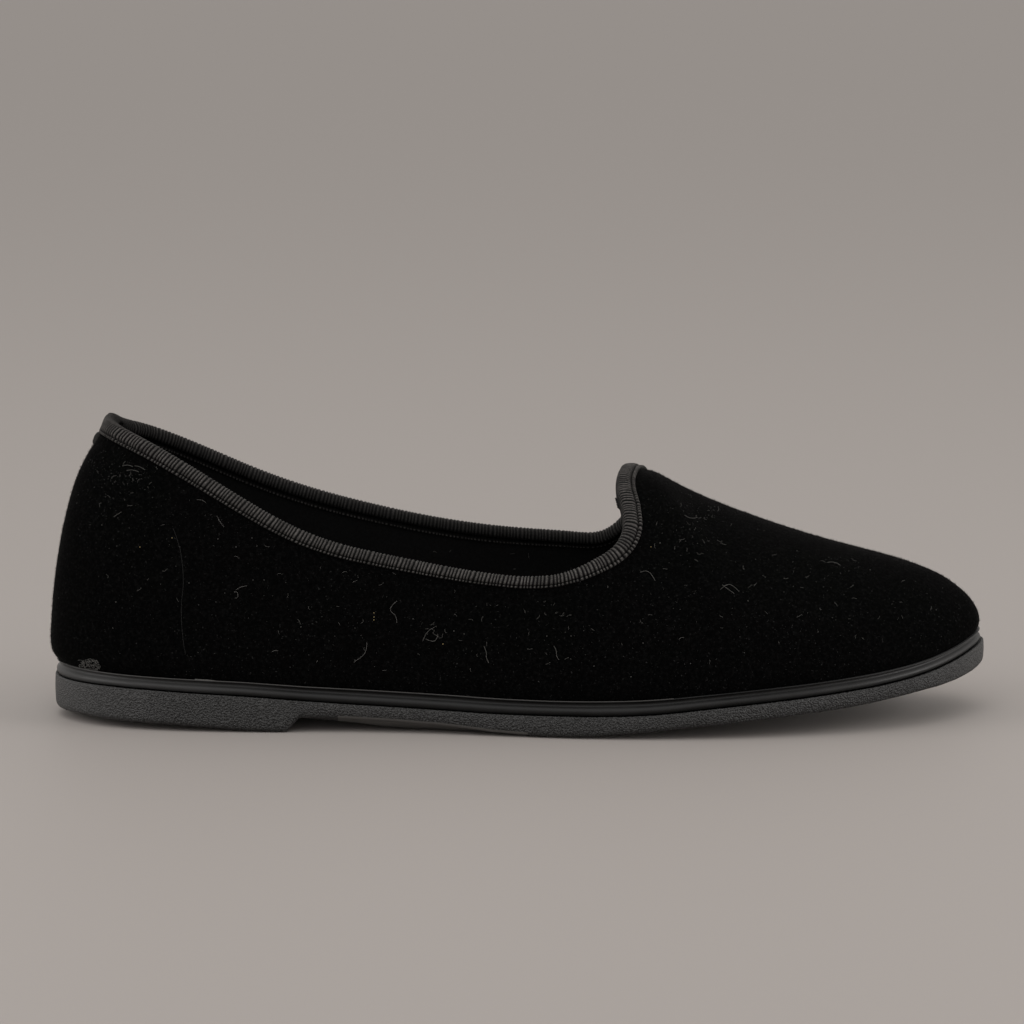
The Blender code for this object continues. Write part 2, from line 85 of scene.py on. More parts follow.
def photoRay(view, px, py):
    lift = math.radians(view["elevation"])
    back = Vector((0, -math.cos(lift), math.sin(lift)))
    up = Vector((0, math.sin(lift), math.cos(lift)))
    eye = Vector(view["target"]) + back * view["distance"]
    half = view["side"] / 2
    across = (px - half) * view["metrePerPixel"]
    rise = (half - py) * view["metrePerPixel"]
    seen = Vector(view["target"]) + Vector((1, 0, 0)) * across + up * rise
    return eye, (seen - eye).normalized()


makeCamera(photoView)

# floor, world and lights
studio = {
    "floorSize": 9.0,
    "floorColour": (0.298, 0.275, 0.261),
    "floorRoughness": 0.6,
    "floorGloss": 0.25,
    "worldColour": (1.0, 0.955, 0.915),
    "worldStrength": 0.62,
    "sunStrength": 0.95,
    "sunAngle": 50.0,          # degrees, apparent size
    "sunFrom": (-0.20, -1.00, 1.20),
    "lights": (
        # name, place, size, watts, colour
        ("softboxTop", (-0.05, 0.10, 1.60), 1.4, 3.0, (1.0, 0.985, 0.965)),
        ("softboxFront", (0.10, -1.60, 0.30), 0.9, 3.0, (1.0, 0.985, 0.97)),
        ("softboxHeel", (-1.25, -0.45, 0.50), 0.9, 9.5, (1.0, 0.985, 0.97)),
        ("softboxToe", (1.50, -0.40, 0.45), 0.9, 13.0, (1.0, 0.985, 0.97)),
    ),
    "aim": (0.09, 0.0, 0.03),
}


def makeStudio(settings):
    bm = bmesh.new()
    bmesh.ops.create_grid(bm, x_segments=1, y_segments=1, size=settings["floorSize"])
    mesh = bpy.data.meshes.new("studioFloor")
    bm.to_mesh(mesh)
    bm.free()
    floor = bpy.data.objects.new("studioFloor", mesh)
    bpy.context.scene.collection.objects.link(floor)
    paper = bpy.data.materials.new("paleFloor")
    paper.use_nodes = True
    shader = paper.node_tree.nodes["Principled BSDF"]
    shader.inputs["Base Color"].default_value = (*settings["floorColour"], 1)
    shader.inputs["Roughness"].default_value = settings["floorRoughness"]
    shader.inputs["Specular IOR Level"].default_value = settings["floorGloss"]
    mesh.materials.append(paper)
    world = bpy.data.worlds.new("studioWorld")
    world.use_nodes = True
    sky = world.node_tree.nodes["Background"]
    sky.inputs["Color"].default_value = (*settings["worldColour"], 1)
    sky.inputs["Strength"].default_value = settings["worldStrength"]
    bpy.context.scene.world = world
    data = bpy.data.lights.new("wideSun", "SUN")
    data.energy = settings["sunStrength"]
    data.angle = math.radians(settings["sunAngle"])
    sun = bpy.data.objects.new("wideSun", data)
    sun.rotation_euler = (-Vector(settings["sunFrom"])).to_track_quat("-Z", "Y").to_euler()
    bpy.context.scene.collection.objects.link(sun)
    for name, place, size, watts, colour in settings["lights"]:
        data = bpy.data.lights.new(name, "AREA")
        data.size = size
        data.energy = watts
        data.color = colour
        light = bpy.data.objects.new(name, data)
        light.location = place
        light.rotation_euler = (Vector(settings["aim"]) - light.location).to_track_quat("-Z", "Y").to_euler()
        bpy.context.scene.collection.objects.link(light)
    bpy.context.scene.view_settings.view_transform = "Standard"


makeStudio(studio)
print("studio: camera, floor and lights placed")


# shared tools for the pieces
def addPiece(name, bm, materials):
    mesh = bpy.data.meshes.new(name)
    bm.to_mesh(mesh)
    bm.free()
    mesh.shade_smooth()
    for material in materials:
        mesh.materials.append(material)
    piece = bpy.data.objects.new(name, mesh)
    bpy.context.scene.collection.objects.link(piece)
    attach(piece, "root")
    return piece


def mergedNode(name):
    bm = bmesh.new()
    bm.from_mesh(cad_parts[name].data)
    bmesh.ops.remove_doubles(bm, verts=bm.verts, dist=1e-6)
    for limit in (35, 80):   # degrees: the flattest pairs of triangles join first
        loose = [f for f in bm.faces if len(f.verts) == 3]
        bmesh.ops.join_triangles(bm, faces=loose, angle_face_threshold=math.radians(limit),
                                 angle_shape_threshold=math.radians(limit))
    return bm


def creaseSharp(bm, angle, weight):
    layer = bm.edges.layers.float.get("crease_edge") or bm.edges.layers.float.new("crease_edge")
    for edge in bm.edges:
        if edge.calc_face_angle(0.0) > math.radians(angle):
            edge[layer] = weight


def evaluatedMesh(piece):
    bpy.context.view_layer.update()
    graph = bpy.context.evaluated_depsgraph_get()
    return bpy.data.meshes.new_from_object(piece.evaluated_get(graph))


def subdivideThrough(piece, levels, rounds=4):
    count = len(piece.data.vertices)
    wanted = np.empty(count * 3)
    piece.data.vertices.foreach_get("co", wanted)
    cage = wanted.copy()
    modifier = piece.modifiers.new("smooth", "SUBSURF")
    modifier.levels = modifier.render_levels = 1
    for _ in range(rounds):
        piece.data.vertices.foreach_set("co", cage)
        piece.data.update()
        made = evaluatedMesh(piece)
        got = np.empty(len(made.vertices) * 3)
        made.vertices.foreach_get("co", got)
        bpy.data.meshes.remove(made)
        cage += 0.8 * (wanted - got[:count * 3])
    piece.data.vertices.foreach_set("co", cage)
    piece.data.update()
    modifier.levels = modifier.render_levels = levels
    fine = evaluatedMesh(piece)
    piece.modifiers.clear()
    coarse = piece.data
    piece.data = fine
    bpy.data.meshes.remove(coarse)
    fine.name = piece.name
    return piece


def spread(low, high, value):
    return min(max((value - low) / (high - low), 0.0), 1.0)


def softStep(low, high, value):
    share = spread(low, high, value)
    return share * share * (3 - 2 * share)


def threadMesh(name, lines, radius):
    curve = bpy.data.curves.new(name, "CURVE")
    curve.dimensions = "3D"
    curve.bevel_depth = radius
    curve.bevel_resolution = 0
    curve.use_fill_caps = True
    curve.resolution_u = 4
    for points in lines:
        spline = curve.splines.new("NURBS")
        spline.points.add(len(points) - 1)
        for target, point in zip(spline.points, points):
            target.co = (*point, 1)
        spline.order_u = 3
        spline.use_endpoint_u = True
    holder = bpy.data.objects.new(name, curve)
    bpy.context.scene.collection.objects.link(holder)
    mesh = evaluatedMesh(holder)
    bpy.data.objects.remove(holder)
    return mesh


class NodeSheet:
    def __init__(self, name):
        self.material = bpy.data.materials.new(name)
        self.material.use_nodes = True
        self.tree = self.material.node_tree
        self.shader = self.tree.nodes["Principled BSDF"]
        self.place = self.tree.nodes.new("ShaderNodeTexCoord")

    def set(self, **values):
        for key, value in values.items():
            socket = self.shader.inputs[key.replace("_", " ")]
            socket.default_value = (*value, 1) if isinstance(value, tuple) else value

    def node(self, kind, **values):
        made = self.tree.nodes.new("ShaderNode" + kind)
        for key, value in values.items():
            setattr(made, key, value)
        return made

    def link(self, out, into):
        self.tree.links.new(out, into)

    def noise(self, scale, detail=2.0, rough=0.6, vector=None):
        made = self.node("TexNoise")
        made.inputs["Scale"].default_value = scale
        made.inputs["Detail"].default_value = detail
        made.inputs["Roughness"].default_value = rough
        self.link(vector or self.place.outputs["Object"], made.inputs["Vector"])
        return made.outputs["Fac"]

    def ramp(self, value, stops):
        made = self.node("ValToRGB")
        while len(made.color_ramp.elements) < len(stops):
            made.color_ramp.elements.new(0.5)
        for element, (position, colour) in zip(made.color_ramp.elements, stops):
            element.position = position
            element.color = (*colour, 1) if isinstance(colour, tuple) else (colour, colour, colour, 1)
        self.link(value, made.inputs["Fac"])
        return made.outputs["Color"]

    def mix(self, blend, fac, a, b):
        made = self.node("Mix", data_type="RGBA", blend_type=blend)
        for socket, value in ((made.inputs["Factor"], fac), (made.inputs[6], a), (made.inputs[7], b)):
            if isinstance(value, bpy.types.NodeSocket):
                self.link(value, socket)
            elif isinstance(value, tuple):
                socket.default_value = (*value, 1)
            else:
                socket.default_value = value
        return made.outputs[2]

    def bump(self, height, strength, distance, below=None):
        made = self.node("Bump")
        made.inputs["Strength"].default_value = strength
        made.inputs["Distance"].default_value = distance
        self.link(height, made.inputs["Height"])
        if below:
            self.link(below, made.inputs["Normal"])
        return made.outputs["Normal"]

    def calc(self, operation, a, b=0.0):
        made = self.node("Math", operation=operation)
        for socket, value in zip(made.inputs, (a, b)):
            if isinstance(value, bpy.types.NodeSocket):
                self.link(value, socket)
            else:
                socket.default_value = value
        return made.outputs["Value"]

    def alongShoe(self, stops):
        split = self.node("SeparateXYZ")
        self.link(self.place.outputs["Object"], split.inputs[0])
        fromHeel = self.calc("SUBTRACT", split.outputs["X"], heelX)
        return self.ramp(self.calc("MULTIPLY", fromHeel, 1 / (toeX - heelX)), stops)

    def finish(self, colour=None, normal=None, rough=None):
        if colour:
            self.link(colour, self.shader.inputs["Base Color"])
        if normal:
            self.link(normal, self.shader.inputs["Normal"])
        if rough:
            self.link(rough, self.shader.inputs["Roughness"])
        return self.material


# materials
def blackVelvet():
    sheet = NodeSheet("blackVelvet")
    sheet.set(Roughness=0.95, Sheen_Weight=0.024, Sheen_Roughness=0.22, Specular_IOR_Level=0.02)
    sheet.shader.inputs["Sheen Tint"].default_value = (0.62, 0.60, 0.59, 1)
    pile = sheet.noise(1100, 3.0, 0.7)
    fleck = sheet.noise(1900, 1.0, 0.5)
    nap = sheet.noise(38, 3.0, 0.6)
    base = sheet.ramp(pile, ((0.36, 0.0003), (0.52, 0.0008), (0.72, 0.0030)))
    dustAndHighlight = sheet.ramp(fleck, ((0.69, 0.0), (0.77, 0.020)))
    worn = sheet.ramp(nap, ((0.35, 0.15), (0.70, 1.0)))
    dusty = sheet.mix("MULTIPLY", 1.0, dustAndHighlight, worn)
    colour = sheet.mix("ADD", 1.0, base, dusty)
    normal = sheet.bump(pile, 0.55, 0.0004)
    return sheet.finish(colour, normal)


def darkLining():
    sheet = NodeSheet("darkLining")
    sheet.set(Roughness=0.9, Sheen_Weight=0.03, Sheen_Roughness=0.5, Specular_IOR_Level=0.08)
    weave = sheet.noise(1300, 2.0, 0.6)
    colour = sheet.ramp(weave, ((0.35, 0.0010), (0.75, 0.0032)))
    normal = sheet.bump(weave, 0.4, 0.0003)
    return sheet.finish(colour, normal)


def ribbedCloth():
    sheet = NodeSheet("ribbedCloth")
    sheet.set(Roughness=0.75, Sheen_Weight=0.02, Sheen_Roughness=0.4, Specular_IOR_Level=0.08)
    fibre = sheet.noise(2400, 2.0, 0.6)
    thread = sheet.ramp(fibre, ((0.30, (0.030, 0.0283, 0.0270)), (0.75, (0.098, 0.0921, 0.0877))))
    wear = sheet.ramp(sheet.noise(260, 2.0, 0.5), ((0.32, 0.62), (0.68, 1.0)))
    thread = sheet.mix("MULTIPLY", 1.0, thread, wear)
    ribs = sheet.node("UVMap", uv_map="ribs")
    split = sheet.node("SeparateXYZ")
    sheet.link(ribs.outputs["UV"], split.inputs[0])
    # painted shade in the grooves: the colour darkens from each rib's crown towards the groove beside it
    turn = sheet.calc("FRACT", split.outputs["X"])
    fromCrown = sheet.calc("ABSOLUTE", sheet.calc("SUBTRACT", turn, 0.5))
    paintedGrooveShade = sheet.ramp(fromCrown, ((0.08, 1.0), (0.25, 0.42), (0.35, 0.03)))
    colour = sheet.mix("MULTIPLY", 1.0, thread, paintedGrooveShade)
    # painted shade: each row's colour is scaled by the shade its UV carries, darkest on the inner face and the far
    # crown inside the shoe
    colour = sheet.mix("MULTIPLY", 1.0, colour, sheet.ramp(split.outputs["Y"], ((0.0, 0.03), (1.0, 1.0))))
    normal = sheet.bump(fibre, 0.35, 0.0002)
    return sheet.finish(colour, normal)


def smoothRubber():
    sheet = NodeSheet("smoothRubber")
    sheet.set(Specular_IOR_Level=0.16)
    film = sheet.noise(90, 3.0, 0.6)
    grain = sheet.noise(900, 2.0, 0.5)
    colour = sheet.ramp(film, ((0.3, 0.0045), (0.7, 0.0085)))
    # lighter towards the heel and the toe: painted light where the band's ends catch the side lamps, with some dust
    # at the heel
    colour = sheet.mix("ADD", 1.0, colour, sheet.alongShoe(((0.0, 0.030), (0.12, 0.016), (0.26, 0.0), (0.72, 0.0),
                                                            (0.86, 0.010), (1.0, 0.026))))
    rough = sheet.ramp(film, ((0.3, 0.36), (0.75, 0.48)))
    normal = sheet.bump(grain, 0.10, 0.0002)
    return sheet.finish(colour, normal, rough)


def pebbledRubber():
    sheet = NodeSheet("pebbledRubber")
    sheet.set(Specular_IOR_Level=0.36)
    pebble = sheet.noise(2300, 0.6, 0.5)
    film = sheet.noise(70, 3.0, 0.6)
    colour = sheet.ramp(pebble, ((0.38, 0.0025), (0.64, 0.023)))
    # painted light: the sole's sides are lighter towards the heel and the toe, where the ends catch the side lamps
    colour = sheet.mix("ADD", 1.0, colour, sheet.alongShoe(((0.0, 0.022), (0.06, 0.010), (0.14, 0.0), (0.90, 0.0),
                                                            (0.96, 0.008), (1.0, 0.018))))
    rough = sheet.ramp(film, ((0.3, 0.52), (0.7, 0.64)))
    normal = sheet.bump(pebble, 1.0, 0.0006)
    return sheet.finish(colour, normal, rough)


def plainMatt(name, colour, roughness=0.7, gloss=0.4):
    sheet = NodeSheet(name)
    sheet.set(Base_Color=colour, Roughness=roughness, Specular_IOR_Level=gloss)
    return sheet.material


velvet = blackVelvet()
lining = darkLining()
cloth = ribbedCloth()
satinBand = smoothRubber()
pebbles = pebbledRubber()
# the waist's lighter smooth rubber is a painted reflection of the bright floor
waistRubberPaintedReflection = plainMatt("waistRubberPaintedReflection", (0.060, 0.058, 0.055), 0.45)
lintMaterial = plainMatt("lintThread", (0.115, 0.111, 0.104))
goldFleck = plainMatt("goldFleck", (0.36, 0.27, 0.12), 0.4)
paleDustAndSheen = plainMatt("paleDustAndSheen", (0.085, 0.083, 0.080))
glueFilm = plainMatt("glueFilm", (0.062, 0.060, 0.056), 0.5)
tabCloth = plainMatt("tabCloth", (0.018, 0.0172, 0.0164), 0.95, 0.06)
# painted highlight colour for the pale line along the lip
lipHighlight = plainMatt("lipHighlight", (0.044, 0.042, 0.040), 0.6)
seamThread = plainMatt("seamThread", (0.008, 0.008, 0.008), 0.8)
pileHair = plainMatt("pileHair", (0.0022, 0.0021, 0.0021), 0.95, 0.06)
print("materials: made")

# velvet upper with its lining inside, one hollow shell
upperShape = {
    "sharp": 50.0,             # degrees, between the outer face, the rim and the lining
    "rimCrease": 0.75,
    "levels": 2,
    "axisEnds": (0.0, 0.17),   # x of a line inside the shoe, which outer faces point away from
    "axisHeight": 0.035,
    "leans": (
        # centre, shift, reach: the back's top leans forwards, the tongue's tip is pressed down
        ((-0.0235, 0.0, 0.0800), (0.0009, 0.0, -0.0014), 0.0100),
        ((-0.0196, 0.004, 0.0805), (0.0, 0.0, 0.0011), 0.0036),
        ((-0.0130, 0.010, 0.0785), (0.0, 0.0, -0.0005), 0.0050),
        ((0.1215, 0.003, 0.0665), (0.0, 0.0, -0.0007), 0.0060),
        ((0.1190, 0.012, 0.0571), (0.0032, 0.0, 0.0), 0.0085),
    ),
}


def regionsOf(bm, angle):
    regions = []
    left = set(bm.faces)
    while left:
        start = left.pop()
        found = [start]
        queue = [start]
        while queue:
            face = queue.pop()
            for edge in face.edges:
                if edge.calc_face_angle(0.0) > math.radians(angle):
                    continue
                for other in edge.link_faces:
                    if other in left:
                        left.remove(other)
                        found.append(other)
                        queue.append(other)
        regions.append(found)
    return regions


def isOutside(face, settings):
    centre = face.calc_center_median()
    start, end = settings["axisEnds"]
    axis = Vector((min(max(centre.x, start), end), 0.0, settings["axisHeight"]))
    return face.normal.dot(centre - axis) > 0


def makeUpper(settings):
    bm = mergedNode("upper")
    regions = sorted(regionsOf(bm, settings["sharp"]), key=len, reverse=True)
    print("upper: regions", [len(r) for r in regions[:6]], "of", len(regions))
    for face in bm.faces:
        face.material_index = 1
    outer = next(r for r in regions[:2] if isOutside(r[0], settings))
    for face in outer:
        face.material_index = 0
    creaseSharp(bm, settings["sharp"], settings["rimCrease"])
    for vert in bm.verts:
        vert.co = leaned(vert.co, settings["leans"])
    rim = rimPairs(bm)
    piece = addPiece("velvetUpper", bm, [velvet, lining])
    subdivideThrough(piece, settings["levels"])
    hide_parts("upper")
    return piece, rim


def leaned(co, leans):
    moved = co.copy()
    for centre, shift, reach in leans:
        away = (co - Vector(centre)).length
        moved += Vector(shift) * math.exp(-(away / reach) ** 2)
    return moved


def rimPairs(bm):
    edges = [e for e in bm.edges if sum(f.material_index == 0 for f in e.link_faces) == 1]
    loops = walkLoops(edges)
    top = max(loops, key=lambda loop: max(v.co.z for v in loop))
    start = min(range(len(top)), key=lambda i: top[i].co.x)
    top = top[start:] + top[:start]
    if top[3].co.y > top[-3].co.y:   # round the shoe by the outer side first
        top = [top[0]] + top[:0:-1]
    pairs = []
    for vert in top:
        across = [e for e in vert.link_edges if all(f.material_index == 1 for f in e.link_faces)]
        inner = min(across, key=lambda e: e.calc_length()).other_vert(vert)
        pairs.append((vert.co.copy(), inner.co.copy()))
    return pairs


def walkLoops(edges):
    loops = []
    left = set(edges)
    while left:
        edge = left.pop()
        loop = [edge.verts[0], edge.verts[1]]
        while True:
            step = [e for e in loop[-1].link_edges if e in left]
            if not step:
                break
            left.remove(step[0])
            loop.append(step[0].other_vert(loop[-1]))
        loops.append(loop[:-1] if loop[-1] is loop[0] else loop)
    return loops


velvetUpper, rimLine = makeUpper(upperShape)
print("upper:", len(velvetUpper.data.polygons), "faces,", len(rimLine), "rim pairs")

# ribbed cloth binding folded over the topline
bindingShape = {
    "ribPitch": 0.00099,
    "samplesPerRib": 6,
    "backReach": 0.006,       # either side of the back centre, where the ribbon is pressed thin
    "backThin": 0.55,
    "ribDepth": 0.00042,
    "ridgePower": 0.8,
    "ridgeMean": 0.62,        # taken off each ridge, so that the ribs don't thicken the ribbon
    "slant": 0.35,            # ribs lean by this many pitches over the width
    "waver": (
        # waves round the collar, size in ribs, start: the ribs aren't quite even
        (41, 0.17, 0.0), (97, 0.12, 1.0),
    ),
    "wall": 0.0022,
    "sideLift": 0.00135,      # of the crown off either face
    "probe": 0.0006,          # step along the edge that gives its direction
    "rise": (
        # x, crown above the cut edge
        (-0.020, 0.0014), (0.105, 0.0014), (0.115, 0.0012), (0.119, 0.0010), (0.124, 0.0006),
    ),
    "width": (
        # x, width on the outer face, width on the inner face
        (-0.033, 0.0032, 0.0031), (0.000, 0.0030, 0.0031), (0.043, 0.0024, 0.0031), (0.088, 0.0018, 0.0029),
        (0.105, 0.0021, 0.0025), (0.115, 0.0033, 0.0023), (0.121, 0.0041, 0.0024),
    ),
    "outer": (
        # down, lift in mm, ribs, painted shade
        (1.00, 0.04, 0.0, 0.1), (1.03, 0.45, 1.4, 0.9), (0.96, 0.86, 1.8, 1.0), (0.83, 0.84, 1.8, 1.0),
        (0.78, 0.36, 0.6, 0.30), (0.75, 0.36, 0.6, 0.30), (0.71, 0.80, 0.8, 0.5), (0.62, 1.22, 1.0, 1.0),
        (0.46, 1.42, 1.0, 1.0), (0.30, 1.46, 1.0, 1.0), (0.15, 1.42, 1.0, 1.0), (0.02, 1.30, 1.0, 1.0),
    ),
    "inner": (
        (0.02, 1.30, 1.0, 0.13), (0.14, 1.34, 1.0, 0.12), (0.25, 1.20, 1.0, 0.10), (0.33, 0.80, 0.7, 0.05),
        (0.38, 0.30, 0.1, 0.0), (0.78, 0.22, 0.0, 0.0), (0.84, 0.52, 1.0, 0.42), (0.94, 0.56, 1.0, 0.42),
        (1.00, 0.30, 0.6, 0.15), (1.00, 0.04, 0.0, 0.0),
    ),
    "crown": (
        # degrees over the edge, painted shade
        (32, 1.0), (56, 0.92), (78, 0.62), (102, 0.34), (124, 0.21), (148, 0.15),
    ),
}


def spansOf(points):
    count = len(points)
    return [max((points[(i + 1) % count] - points[i]).length, 1e-6) for i in range(count)]


# a point on the smooth closed curve through the points, the share u of the way from point i to the next
def curvePoint(points, spans, i, u):
    count = len(points)
    p0, p1, p2, p3 = (points[(i + k) % count] for k in (-1, 0, 1, 2))
    before, span, after = spans[i - 1], spans[i], spans[(i + 1) % count]
    m1 = ((p1 - p0) / before * span + (p2 - p1) / span * before) / (before + span)
    m2 = ((p2 - p1) / span * after + (p3 - p2) / after * span) / (span + after)
    h1 = (1 + 2 * u) * (1 - u) ** 2
    h2 = u * u * (3 - 2 * u)
    return p1 * h1 + p2 * h2 + m1 * (span * u * (1 - u) ** 2) - m2 * (span * u * u * (1 - u))


def spanFinder(spans):
    length = sum(spans)
    starts = [sum(spans[:i]) for i in range(len(spans))]

    def find(s):
        s = s % length
        i = max(k for k in range(len(starts)) if starts[k] <= s)
        return i, (s - starts[i]) / spans[i]
    return find, length


def closedCurve(points):
    spans = spansOf(points)
    find, length = spanFinder(spans)
    return lambda s: curvePoint(points, spans, *find(s)), length


def closedAlong(points, values):
    find, _ = spanFinder(spansOf(points))

    def at(s):
        i, u = find(s)
        return values[i].lerp(values[(i + 1) % len(values)], softStep(0.0, 1.0, u))
    return at


def tableAt(table, x, column=1):
    if x <= table[0][0]:
        return table[0][column]
    for a, b in zip(table, table[1:]):
        if x <= b[0]:
            return a[column] + (b[column] - a[column]) * (x - a[0]) / (b[0] - a[0])
    return table[-1][column]


def faceTree(piece, index):
    mesh = piece.data
    verts = [v.co for v in mesh.vertices]
    faces = [tuple(p.vertices) for p in mesh.polygons if p.material_index == index]
    return BVHTree.FromPolygons(verts, faces)


def makeBinding(settings, rim, upper):
    outerAt, length = closedCurve([pair[0] for pair in rim])
    acrossAt = closedAlong([pair[0] for pair in rim], [pair[0] - pair[1] for pair in rim])
    outerSkin = faceTree(upper, 0)
    innerSkin = faceTree(upper, 1)
    ribs = round(length / settings["ribPitch"])
    columns = ribs * settings["samplesPerRib"]
    outer, inner, crown = settings["outer"], settings["inner"], settings["crown"]
    rows = len(outer) + len(crown) + len(inner)
    bm = bmesh.new()
    bmesh.ops.create_grid(bm, x_segments=columns, y_segments=rows, size=1.0)
    uvLayer = bm.loops.layers.uv.new("ribs")
    grid = {}
    for vert in bm.verts:
        i = round((vert.co.x + 1) / 2 * columns)
        j = round((vert.co.y + 1) / 2 * rows)
        grid[vert.index] = (i, j)
    bm.verts.index_update()
    downs = [row[0] for row in outer] + [0.0] * len(crown) + [row[0] for row in inner]
    # painted shade of each row, carried in the UV's second coordinate
    paintedShades = [row[3] for row in outer] + [row[1] for row in crown] + [row[3] for row in inner]
    for face in bm.faces:
        for loop in face.loops:
            i, j = grid[loop.vert.index]
            turn = ribTurn(settings, i, columns, ribs) + settings["slant"] * downs[j % rows]
            loop[uvLayer].uv = (turn, paintedShades[j % rows])
    sections = {}
    for i in range(columns):
        sections[i] = bindingSection(settings, outerAt, acrossAt, length, i, ribs, columns, outerSkin, innerSkin)
    for vert in bm.verts:
        i, j = grid[vert.index]
        vert.co = sections[i % columns][j % rows]
    bmesh.ops.remove_doubles(bm, verts=bm.verts, dist=1e-6)
    bmesh.ops.recalc_face_normals(bm, faces=bm.faces)
    piece = addPiece("ribbedBinding", bm, [cloth])
    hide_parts("topline_binding")
    return piece


def ribTurn(settings, i, columns, ribs):
    lap = 2 * math.pi * i / columns
    turn = ribs * i / columns
    for waves, size, start in settings["waver"]:
        turn += size * math.sin(waves * lap + start)
    return turn


def bindingSection(settings, outerAt, acrossAt, length, i, ribs, columns, outerSkin, innerSkin):
    s = length * i / columns
    small = settings["probe"]
    place = outerAt(s)
    run = (outerAt(s + small) - outerAt(s - small)).normalized()
    normal = acrossAt(s).normalized()
    beyond = normal.cross(run).normalized()
    normal = run.cross(beyond).normalized()
    width = tableAt(settings["width"], place.x)
    innerWidth = tableAt(settings["width"], place.x, 2)
    rise = tableAt(settings["rise"], place.x)
    behind = math.exp(-(min(s, length - s) / settings["backReach"]) ** 2)
    thin = 1 - settings["backThin"] * behind
    mm = 0.001 * thin
    phase = ribTurn(settings, i, columns, ribs)

    def ridge(down, weight):
        turn = (phase + settings["slant"] * down) % 1.0
        wave = abs(math.sin(math.pi * turn)) ** settings["ridgePower"]
        return settings["ribDepth"] * weight * (wave - settings["ridgeMean"])

    points = []
    for down, lift, weight, _ in settings["outer"]:
        seat, face, _, _ = outerSkin.find_nearest(place - beyond * (width * down))
        points.append(seat + face * (lift * mm + ridge(down, weight)))
    middle = place - normal * (settings["wall"] / 2)
    for angle, _ in settings["crown"]:
        tilt = math.radians(angle)
        lift = rise + ridge(0.0, 1.0)
        sideLift = settings["sideLift"] * (1 if tilt > math.pi / 2 else thin)
        side = settings["wall"] / 2 + sideLift + ridge(0.0, 1.0)
        points.append(middle + beyond * (lift * math.sin(tilt)) + normal * (side * math.cos(tilt)))
    for down, lift, weight, _ in settings["inner"]:
        below = place - normal * settings["wall"] - beyond * (innerWidth * down)
        seat, face, _, _ = innerSkin.find_nearest(below)
        points.append(seat + face * (lift * mm + ridge(down, weight)))
    return points


ribbedBinding = makeBinding(bindingShape, rimLine, velvetUpper)
print("binding:", len(ribbedBinding.data.polygons), "faces")

# sole pieces: each one a closed section swept round the rings that its CAD node gives
ringReading = {
    "flat": 0.85,              # least share of a cap face's normal that points up or down
    "alongReach": 0.0004,      # from a rim point to its foot, along the rim
    "outReach": 0.003,         # and across it
}


def capRing(node, up):
    bm = bmesh.new()
    bm.from_mesh(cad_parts[node].data)
    bmesh.ops.remove_doubles(bm, verts=bm.verts, dist=1e-6)
    flat = {f for f in bm.faces if f.normal.z * up > ringReading["flat"]}
    loops = walkLoops([e for e in bm.edges if sum(f in flat for f in e.link_faces) == 1])
    longest = max(len(loop) for loop in loops)
    rings = [orderedRing([v.co.copy() for v in loop]) for loop in loops if len(loop) == longest]
    bm.free()
    return max(rings, key=lambda ring: up * sum(p.z for p in ring))


def columnFeet(node, ring):
    verts = [v.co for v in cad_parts[node].data.vertices]
    ringAt = indexCurve(ring)
    feet = []
    for i, top in enumerate(ring):
        out = outOf(ringAt, i)
        along = Vector((-out.y, out.x, 0))
        below = [v for v in verts if abs((v - top).dot(along)) < ringReading["alongReach"]
                 and abs((v - top).dot(out)) < ringReading["outReach"]]
        feet.append(min(below, key=lambda v: v.z).copy())
    return feet


def orderedRing(points):
    start = min(range(len(points)), key=lambda i: points[i].x)
    points = points[start:] + points[:start]
    if points[len(points) // 4].y > points[-len(points) // 4].y:
        points = [points[0]] + points[:0:-1]
    return points


def indexCurve(points):
    spans = spansOf(points)
    return lambda p: curvePoint(points, spans, int(math.floor(p)) % len(points), p - math.floor(p))


def outOf(at, p):
    run = at(p + 0.05) - at(p - 0.05)
    return Vector((run.y, -run.x, 0)).normalized()


def sweepRing(name, count, perStation, section, material, node):
    columns = count * perStation
    sections = [section(i / perStation) for i in range(columns)]
    rows = len(sections[0])
    bm = bmesh.new()
    bmesh.ops.create_grid(bm, x_segments=columns, y_segments=rows - 1, size=1.0)
    for vert in bm.verts:
        i = round((vert.co.x + 1) / 2 * columns) % columns
        j = round((vert.co.y + 1) / 2 * (rows - 1))
        vert.co = sections[i][j]
    bmesh.ops.remove_doubles(bm, verts=bm.verts, dist=2e-6)
    bmesh.ops.recalc_face_normals(bm, faces=bm.faces)
    piece = addPiece(name, bm, [material])
    piece.data.set_sharp_from_angle(angle=math.radians(50))
    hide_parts(node)
    print(name + ":", len(piece.data.polygons), "faces")
    return piece


def towardsMiddle(edgeAt, count, p, shares):
    edge = edgeAt(p)
    middle = (edge + edgeAt(count - p)) / 2
    return [edge.lerp(middle, share) for share in shares]


